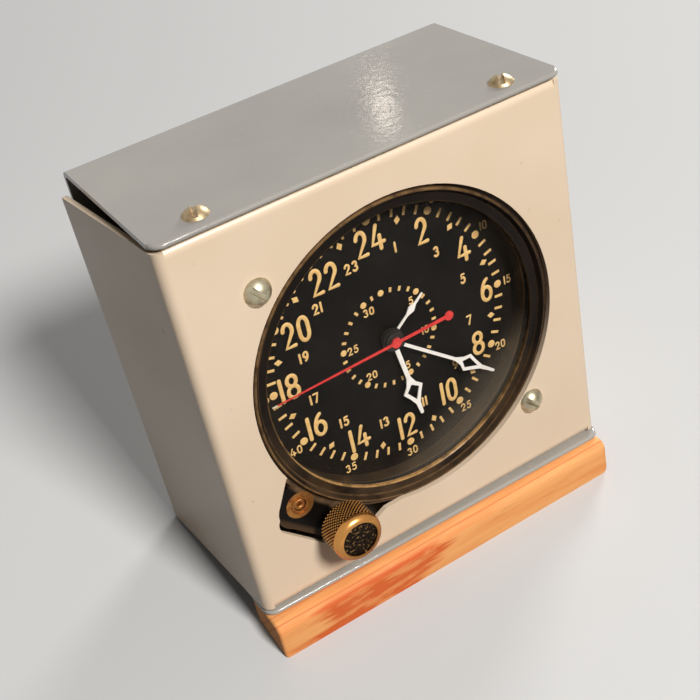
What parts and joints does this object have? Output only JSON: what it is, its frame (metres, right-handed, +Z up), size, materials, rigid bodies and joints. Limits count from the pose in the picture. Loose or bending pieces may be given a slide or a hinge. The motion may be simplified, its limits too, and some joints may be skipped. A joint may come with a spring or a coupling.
{
  "type": "aircraft clock",
  "caption": "Hand-wound aircraft panel clock with a 24-hour dial and a day-of-month hand, held in a leaning desk stand of folded sheet metal on a wooden foot.",
  "frame": {"origin": "middle of the wooden foot's underside, on the table", "axes": "+Z up, -Y towards the person who reads the dial, +X to that person's right; the panel leans back"},
  "size_m": [0.1034, 0.0774, 0.1113],
  "materials": {
    "cream_paint": "semi-gloss cream paint",
    "grey_paint": "satin blue-grey paint",
    "timber": "orange-brown oiled wood",
    "gilt_screw": "dulled gilt",
    "nickel": "worn nickel",
    "black_enamel": "black enamel, worn to brass on the edges",
    "brass": "satin",
    "knob_brass": "diamond knurl with a polished end",
    "glass": "clear",
    "rubber": "matt",
    "dial_black": "matt black",
    "steel": "fine turned",
    "blued_steel": "heat-blued",
    "lume_paint": "luminous cream paint",
    "red_paint": "red paint with a cream end",
    "ruby": "polished"
  },
  "bodies": {
    "stand": {"front_shell": "cream_paint", "wrap_cover": "grey_paint", "wood_foot": "timber", "cover_screws": "gilt_screw", "mount_screws": "nickel", "instrument_case": "black_enamel", "flange_inserts": "brass", "bezel_ring": "black_enamel", "crystal": "glass", "crystal_gasket": "rubber", "dial_ring": "brass", "dial": "dial_black", "dial_spacer": "brass", "case_back": "black_enamel", "back_screws": "nickel", "stem_bush": "black_enamel", "main_plate": "brass", "back_plate": "brass", "pillars": "brass", "plate_screws": "blued_steel", "balance_cock": "brass", "hairspring": "blued_steel", "click_spring": "blued_steel"},
    "regulator_arm": {"regulator": "steel"},
    "center": {"center_arbor": "steel", "center_wheel": "brass", "cannon_pinion": "steel", "minute_hand": "lume_paint"},
    "third": {"third_arbor": "steel", "third_wheel": "brass"},
    "seconds": {"seconds_arbor": "steel", "fourth_wheel": "brass", "seconds_hand": "red_paint"},
    "escape": {"escape_arbor": "steel", "escape_wheel": "steel"},
    "lever": {"pallet_lever": "steel", "pallet_arbor": "steel", "pallet_stones": "ruby"},
    "balance": {"balance_wheel": "brass", "balance_staff": "steel", "roller_table": "steel"},
    "minute_work": {"minute_wheel": "brass"},
    "hour": {"hour_wheel": "brass", "hour_hand": "lume_paint"},
    "day_work": {"day_idler": "brass"},
    "day": {"day_wheel": "brass", "day_hand": "lume_paint"},
    "intermediate": {"intermediate_arbor": "steel", "intermediate_wheel": "brass"},
    "spring_barrel": {"barrel": "brass", "barrel_cover": "brass", "mainspring": "blued_steel"},
    "ratchet": {"barrel_arbor": "steel", "ratchet_wheel": "steel"},
    "click_pawl": {"click": "steel"},
    "idler": {"winding_idler": "steel"},
    "sleeve": {"pull_sleeve": "brass"},
    "crown": {"winding_stem": "steel", "knob": "knob_brass"}
  },
  "joints": [
    {"name": "minute_turn", "type": "hinge", "parent": "stand", "child": "center", "pos_m": [0, 0.00886, 0.06072], "axis": [0, 0.9837, -0.1798], "continuous": true},
    {"name": "third_turn", "type": "hinge", "parent": "stand", "child": "third", "pos_m": [0.00765, 0.01124, 0.07375], "axis": [0, 0.9837, -0.1798], "continuous": true},
    {"name": "seconds_turn", "type": "hinge", "parent": "stand", "child": "seconds", "pos_m": [0, 0.00886, 0.06072], "axis": [0, 0.9837, -0.1798], "continuous": true},
    {"name": "escape_turn", "type": "hinge", "parent": "stand", "child": "escape", "pos_m": [0.01296, 0.00752, 0.05336], "axis": [0, 0.9837, -0.1798], "continuous": true},
    {"name": "lever_rock", "type": "hinge", "parent": "stand", "child": "lever", "pos_m": [0.01832, 0.00696, 0.05031], "axis": [0, 0.9837, -0.1798], "range_deg": [-4, 4]},
    {"name": "balance_swing", "type": "hinge", "parent": "stand", "child": "balance", "pos_m": [0.02481, 0.00628, 0.04663], "axis": [0, 0.9837, -0.1798], "range_deg": [-220, 220]},
    {"name": "regulator_turn", "type": "hinge", "parent": "stand", "child": "regulator_arm", "pos_m": [0.02481, 0.00628, 0.04663], "axis": [0, 0.9837, -0.1798], "range_deg": [-20, 20]},
    {"name": "minute_work_turn", "type": "hinge", "parent": "stand", "child": "minute_work", "pos_m": [0, 0.00697, 0.05039], "axis": [0, 0.9837, -0.1798], "continuous": true},
    {"name": "hour_turn", "type": "hinge", "parent": "stand", "child": "hour", "pos_m": [0, 0.00886, 0.06072], "axis": [0, 0.9837, -0.1798], "continuous": true},
    {"name": "day_idler_turn", "type": "hinge", "parent": "stand", "child": "day_work", "pos_m": [0, 0.01152, 0.07528], "axis": [0, 0.9837, -0.1798], "continuous": true},
    {"name": "day_turn", "type": "hinge", "parent": "stand", "child": "day", "pos_m": [0, 0.00886, 0.06072], "axis": [0, 0.9837, -0.1798], "continuous": true},
    {"name": "intermediate_turn", "type": "hinge", "parent": "stand", "child": "intermediate", "pos_m": [-0.01052, 0.01093, 0.07205], "axis": [0, 0.9837, -0.1798], "continuous": true},
    {"name": "barrel_turn", "type": "hinge", "parent": "stand", "child": "spring_barrel", "pos_m": [-0.01937, 0.00845, 0.05847], "axis": [0, 0.9837, -0.1798], "continuous": true},
    {"name": "ratchet_turn", "type": "hinge", "parent": "stand", "child": "ratchet", "pos_m": [-0.01937, 0.00845, 0.05847], "axis": [0, 0.9837, -0.1798], "continuous": true},
    {"name": "click_lift", "type": "hinge", "parent": "stand", "child": "click_pawl", "pos_m": [-0.01937, 0.0115, 0.07519], "axis": [0, -0.9837, 0.1798], "range_deg": [0, 6]},
    {"name": "idler_turn", "type": "hinge", "parent": "stand", "child": "idler", "pos_m": [-0.01863, 0.0045, 0.03684], "axis": [0, 0.9837, -0.1798], "continuous": true},
    {"name": "knob_pull", "type": "slide", "parent": "stand", "child": "sleeve", "axis": [0, -0.9837, 0.1798], "range_m": [0, 0.0025]},
    {"name": "knob_turn", "type": "hinge", "parent": "sleeve", "child": "crown", "pos_m": [-0.02654, 0.00264, 0.02669], "axis": [0, 0.9837, -0.1798], "continuous": true}
  ],
  "couplings": [
    {"joint": "third_turn", "follows": "minute_turn", "ratio": -8},
    {"joint": "seconds_turn", "follows": "minute_turn", "ratio": 60},
    {"joint": "escape_turn", "follows": "minute_turn", "ratio": -600},
    {"joint": "minute_work_turn", "follows": "minute_turn", "ratio": -0.25},
    {"joint": "hour_turn", "follows": "minute_turn", "ratio": 0.041667},
    {"joint": "day_idler_turn", "follows": "minute_turn", "ratio": -0.0080645},
    {"joint": "day_turn", "follows": "minute_turn", "ratio": 0.0013441},
    {"joint": "intermediate_turn", "follows": "minute_turn", "ratio": -0.18182},
    {"joint": "barrel_turn", "follows": "minute_turn", "ratio": 0.025253},
    {"joint": "idler_turn", "follows": "knob_turn", "ratio": -0.3},
    {"joint": "ratchet_turn", "follows": "knob_turn", "ratio": 0.25}
  ]
}
